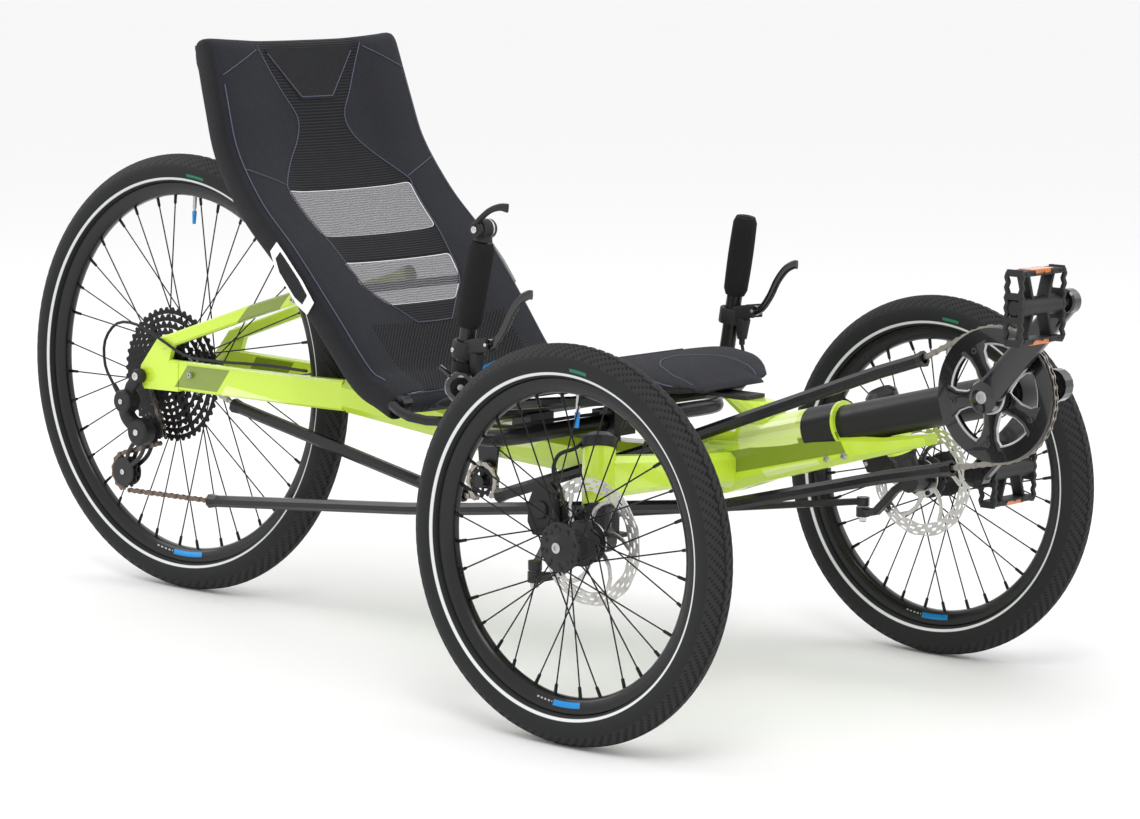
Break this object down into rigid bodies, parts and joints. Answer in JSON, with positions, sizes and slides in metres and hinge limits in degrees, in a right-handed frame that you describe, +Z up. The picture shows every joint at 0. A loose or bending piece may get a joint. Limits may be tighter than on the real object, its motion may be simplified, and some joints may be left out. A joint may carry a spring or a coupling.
{
  "type": "recumbent tricycle",
  "caption": "Adult recumbent tricycle: reclined mesh seat, two steered front wheels, front cranks, chain in tubes to one large driven rear wheel, under-seat handlebar.",
  "frame": {"origin": "middle of the bounding box's base, on the ground", "axes": "-Y is forward, the way the rider faces; +X is the rider's left; +Z is up"},
  "size_m": [0.831, 1.9395, 0.8248],
  "materials": {
    "lime_paint": "gloss lime-yellow powder coat",
    "black_metal": "satin black",
    "black_plastic": "matt black",
    "tyre": "matt black with a pale reflective stripe",
    "cable_rubber": "matt black",
    "foam": "matt black closed-cell foam",
    "fabric": "charcoal mesh cloth with grey piping",
    "steel": "brushed",
    "chain_steel": "oiled, brown-grey"
  },
  "bodies": {
    "frame": {"main_beam": "lime_paint", "cross_arm_right": "lime_paint", "cross_arm_left": "lime_paint", "rear_stay_right": "lime_paint", "rear_stay_left": "lime_paint", "idler_bracket": "black_metal", "chain_tube_power_front": "black_plastic", "chain_tube_power_rear": "black_plastic", "chain_tube_return": "black_plastic", "chain_idler_span": "chain_steel", "chain_rear_span": "chain_steel", "chain_return_span": "chain_steel", "derailleur_body": "black_plastic", "shift_cable": "cable_rubber", "seat_pan": "fabric", "pan_frame": "black_metal"},
    "boom_slider": {"boom": "black_metal", "chain_front_span": "chain_steel"},
    "cranks": {"chainring": "black_metal", "crank_right": "black_metal", "crank_left": "black_metal"},
    "pedal_r": {"pedal_right": "black_plastic"},
    "pedal_l": {"pedal_left": "black_plastic"},
    "cassette_body": {"cassette": "black_metal"},
    "idler_wheel": {"idler_pulley": "black_plastic"},
    "derailleur_arm": {"derailleur_cage": "black_metal", "chain_cage_span": "chain_steel"},
    "upper_jockey_wheel": {"jockey_upper": "black_plastic"},
    "lower_jockey_wheel": {"jockey_lower": "black_plastic"},
    "rear_wheel": {"rear_tyre": "tyre", "rear_rim": "black_metal", "rear_hub_spokes": "black_metal"},
    "steering": {"handlebar": "black_metal", "steering_stem": "black_metal", "shifter_body": "black_plastic", "grip_right": "foam", "grip_left": "foam", "brake_body_right": "black_plastic", "brake_body_left": "black_plastic", "brake_hose_right": "cable_rubber", "brake_hose_left": "cable_rubber"},
    "shift_thumb": {"shifter_lever": "black_plastic"},
    "backrest": {"backrest_pad": "fabric", "backrest_frame": "black_metal"},
    "front_wheel_right": {"front_tyre_right": "tyre", "front_rim_right": "black_metal", "front_hub_spokes_right": "black_metal", "rotor_right": "steel"},
    "steering_knuckle_right": {"knuckle_right": "black_metal", "caliper_right": "black_plastic"},
    "track_rod_right": {"tie_rod_right": "black_metal"},
    "brake_blade_right": {"brake_lever_right": "black_metal"},
    "front_wheel_left": {"front_tyre_left": "tyre", "front_rim_left": "black_metal", "front_hub_spokes_left": "black_metal", "rotor_left": "steel"},
    "steering_knuckle_left": {"knuckle_left": "black_metal", "caliper_left": "black_plastic"},
    "track_rod_left": {"tie_rod_left": "black_metal"},
    "brake_blade_left": {"brake_lever_left": "black_metal"}
  },
  "joints": [
    {"name": "boom_slide", "type": "slide", "parent": "frame", "child": "boom_slider", "axis": [0, -0.9673, 0.2538], "range_m": [-0.01, 0.03]},
    {"name": "crank_spin", "type": "hinge", "parent": "boom_slider", "child": "cranks", "pos_m": [0, -0.84112, 0.4435], "axis": [1, 0, 0], "continuous": true},
    {"name": "pedal_right_spin", "type": "hinge", "parent": "cranks", "child": "pedal_r", "pos_m": [-0.0853, -0.95488, 0.56983], "axis": [1, 0, 0], "continuous": true},
    {"name": "pedal_left_spin", "type": "hinge", "parent": "cranks", "child": "pedal_l", "pos_m": [0.0853, -0.72737, 0.31716], "axis": [1, 0, 0], "continuous": true},
    {"name": "cassette_spin", "type": "hinge", "parent": "frame", "child": "cassette_body", "pos_m": [-0.045, 0.64488, 0.3255], "axis": [1, 0, 0], "continuous": true},
    {"name": "idler_spin", "type": "hinge", "parent": "frame", "child": "idler_wheel", "pos_m": [-0.045, 0.00988, 0.239], "axis": [1, 0, 0], "continuous": true},
    {"name": "derailleur_cage_swing", "type": "hinge", "parent": "frame", "child": "derailleur_arm", "pos_m": [-0.056, 0.66288, 0.242], "axis": [1, 0, 0], "range_deg": [0, 8], "stiffness_Nm_per_rad": 0.6, "springref_deg": -17.19},
    {"name": "jockey_upper_spin", "type": "hinge", "parent": "derailleur_arm", "child": "upper_jockey_wheel", "pos_m": [-0.056, 0.66288, 0.242], "axis": [1, 0, 0], "continuous": true},
    {"name": "jockey_lower_spin", "type": "hinge", "parent": "derailleur_arm", "child": "lower_jockey_wheel", "pos_m": [-0.056, 0.71788, 0.1745], "axis": [1, 0, 0], "continuous": true},
    {"name": "rear_wheel_spin", "type": "hinge", "parent": "frame", "child": "rear_wheel", "pos_m": [0, 0.64488, 0.3255], "axis": [1, 0, 0], "continuous": true},
    {"name": "handlebar_steer", "type": "hinge", "parent": "frame", "child": "steering", "pos_m": [0, -0.18612, 0.338], "axis": [0, 0, 1], "range_deg": [-25, 25]},
    {"name": "shifter_lever_turn", "type": "hinge", "parent": "steering", "child": "shift_thumb", "pos_m": [-0.272, -0.19462, 0.6155], "axis": [1, 0, 0], "range_deg": [-30, 30]},
    {"name": "backrest_fold", "type": "hinge", "parent": "frame", "child": "backrest", "pos_m": [0, 0.03688, 0.356], "axis": [1, 0, 0], "range_deg": [0, 112]},
    {"name": "knuckle_right_steer", "type": "hinge", "parent": "frame", "child": "steering_knuckle_right", "pos_m": [-0.31, -0.42462, 0.3235], "axis": [0.278, 0.236, 0.9311], "range_deg": [-25, 25]},
    {"name": "tie_rod_right_pivot", "type": "hinge", "parent": "steering_knuckle_right", "child": "track_rod_right", "pos_m": [-0.345, -0.35112, 0.194], "axis": [0.3011, 0.1693, 0.9385], "range_deg": [-27.5, 27.5]},
    {"name": "front_wheel_right_spin", "type": "hinge", "parent": "steering_knuckle_right", "child": "front_wheel_right", "pos_m": [-0.3895, -0.44612, 0.25], "axis": [1, 0, 0], "continuous": true},
    {"name": "brake_lever_right_pull", "type": "hinge", "parent": "steering", "child": "brake_blade_right", "pos_m": [-0.276, -0.21012, 0.468], "axis": [1, 0, 0], "range_deg": [-18, 0], "stiffness_Nm_per_rad": 0.8, "springref_deg": 14.32},
    {"name": "knuckle_left_steer", "type": "hinge", "parent": "frame", "child": "steering_knuckle_left", "pos_m": [0.31, -0.42462, 0.3235], "axis": [-0.278, 0.236, 0.9311], "range_deg": [-25, 25]},
    {"name": "tie_rod_left_pivot", "type": "hinge", "parent": "steering_knuckle_left", "child": "track_rod_left", "pos_m": [0.345, -0.35112, 0.194], "axis": [-0.3011, 0.1693, 0.9385], "range_deg": [-27.5, 27.5]},
    {"name": "front_wheel_left_spin", "type": "hinge", "parent": "steering_knuckle_left", "child": "front_wheel_left", "pos_m": [0.3895, -0.44612, 0.25], "axis": [1, 0, 0], "continuous": true},
    {"name": "brake_lever_left_pull", "type": "hinge", "parent": "steering", "child": "brake_blade_left", "pos_m": [0.276, -0.21012, 0.468], "axis": [1, 0, 0], "range_deg": [-18, 0], "stiffness_Nm_per_rad": 0.8, "springref_deg": 14.32}
  ],
  "couplings": [
    {"joint": "cassette_spin", "follows": "crank_spin", "ratio": 2.9231},
    {"joint": "idler_spin", "follows": "crank_spin", "ratio": -3.4545},
    {"joint": "jockey_upper_spin", "follows": "crank_spin", "ratio": -3.4545},
    {"joint": "jockey_lower_spin", "follows": "crank_spin", "ratio": 3.1667},
    {"joint": "knuckle_right_steer", "follows": "handlebar_steer", "ratio": 1},
    {"joint": "tie_rod_right_pivot", "follows": "handlebar_steer", "ratio": -1.0694},
    {"joint": "knuckle_left_steer", "follows": "handlebar_steer", "ratio": 1},
    {"joint": "tie_rod_left_pivot", "follows": "handlebar_steer", "ratio": -1.0694}
  ]
}
